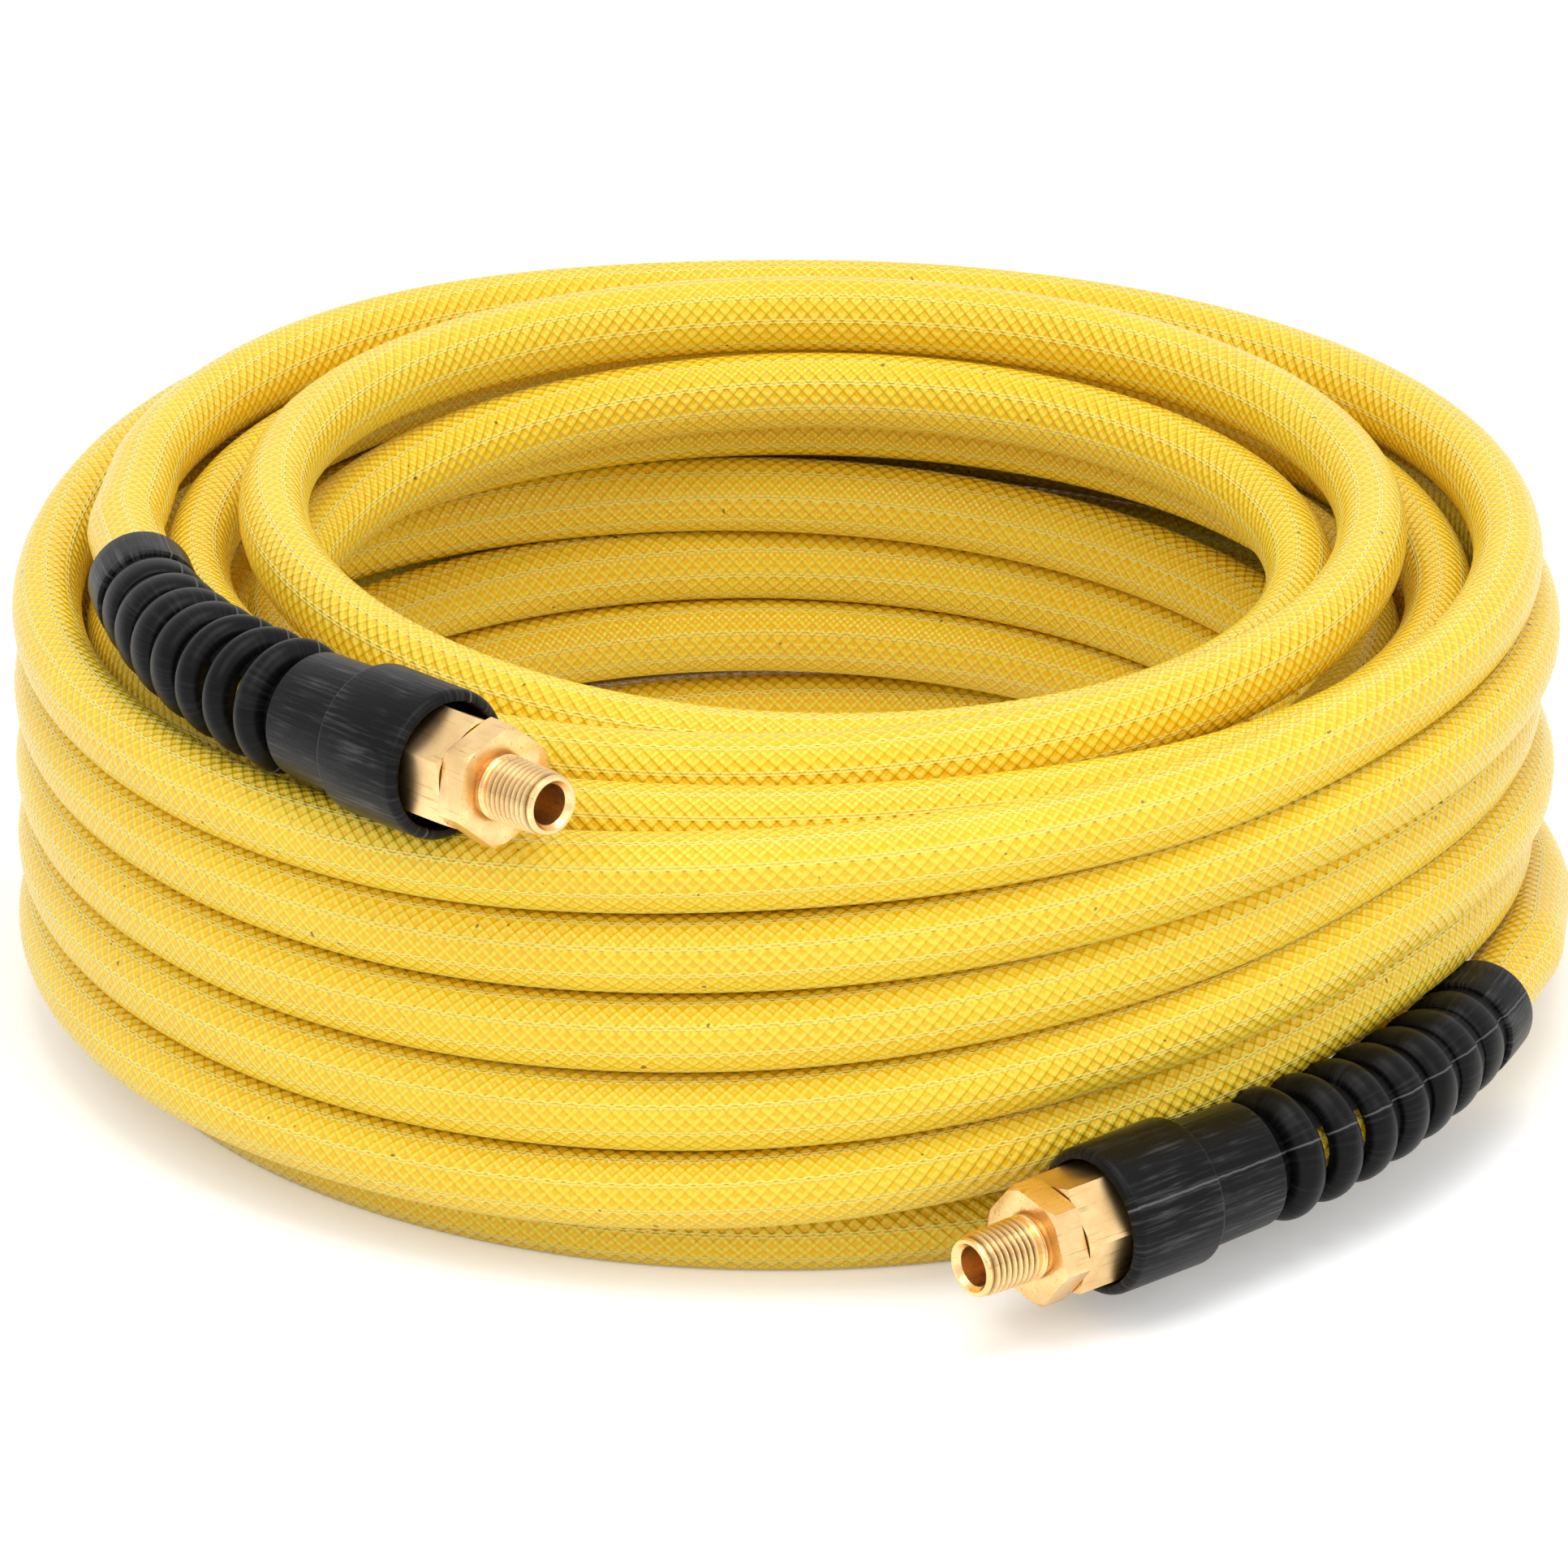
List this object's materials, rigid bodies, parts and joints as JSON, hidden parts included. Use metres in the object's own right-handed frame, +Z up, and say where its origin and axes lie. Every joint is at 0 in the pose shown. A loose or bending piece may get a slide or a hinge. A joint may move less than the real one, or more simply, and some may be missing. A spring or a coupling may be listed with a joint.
{
  "type": "coiled air hose",
  "caption": "Long braided air hose wound into a pile, with a ribbed rubber bend boot and a reusable brass pipe-thread fitting on each end.",
  "frame": {"origin": "under the middle of the whole part, on the floor that the pile lies on", "axes": "+Z up out of the pile; +X to the right and -Y to the front, where both fittings point; +Y is the long way across the pile and the fittings"},
  "size_m": [0.3268, 0.3498, 0.1278],
  "materials": {
    "hose": "glossy flexible tube, braid showing through",
    "liner": "smooth",
    "braid": "woven yarn",
    "boot": "satin moulded rubber with a parting line",
    "brass_nut": "turned and milled, slightly dull",
    "brass_body": "turned and milled",
    "ferrule": "plain"
  },
  "bodies": {
    "hose": {"hose_coil": "hose", "upper_hose_liner": "liner", "upper_hose_braid": "braid", "upper_hose_cover": "hose", "upper_boot": "boot", "upper_ferrule": "ferrule", "lower_hose_liner": "liner", "lower_hose_braid": "braid", "lower_hose_cover": "hose", "lower_boot": "boot", "lower_ferrule": "ferrule"},
    "nut_upper": {"upper_nut": "brass_nut"},
    "fitting_upper": {"upper_fitting_body": "brass_body"},
    "nut_lower": {"lower_nut": "brass_nut"},
    "fitting_lower": {"lower_fitting_body": "brass_body"}
  },
  "joints": [
    {"name": "upper_nut_turn", "type": "hinge", "parent": "hose", "child": "nut_upper", "pos_m": [-0.0575, -0.1445, 0.1133], "axis": [-0.6747, 0.7363, -0.0523], "range_deg": [0, 1440]},
    {"name": "upper_body_slide", "type": "slide", "parent": "hose", "child": "fitting_upper", "axis": [0.6747, -0.7363, 0.0523], "range_m": [0, 0.006]},
    {"name": "lower_nut_turn", "type": "hinge", "parent": "hose", "child": "nut_lower", "pos_m": [0.0455, -0.162, 0.0213], "axis": [0.7771, 0.6293, 0.014], "range_deg": [0, 1440]},
    {"name": "lower_body_slide", "type": "slide", "parent": "hose", "child": "fitting_lower", "axis": [-0.7771, -0.6293, -0.014], "range_m": [0, 0.006]}
  ],
  "couplings": [
    {"joint": "upper_nut_turn", "follows": "upper_body_slide", "rad_per_m": 4188.8},
    {"joint": "lower_nut_turn", "follows": "lower_body_slide", "rad_per_m": 4188.8}
  ]
}
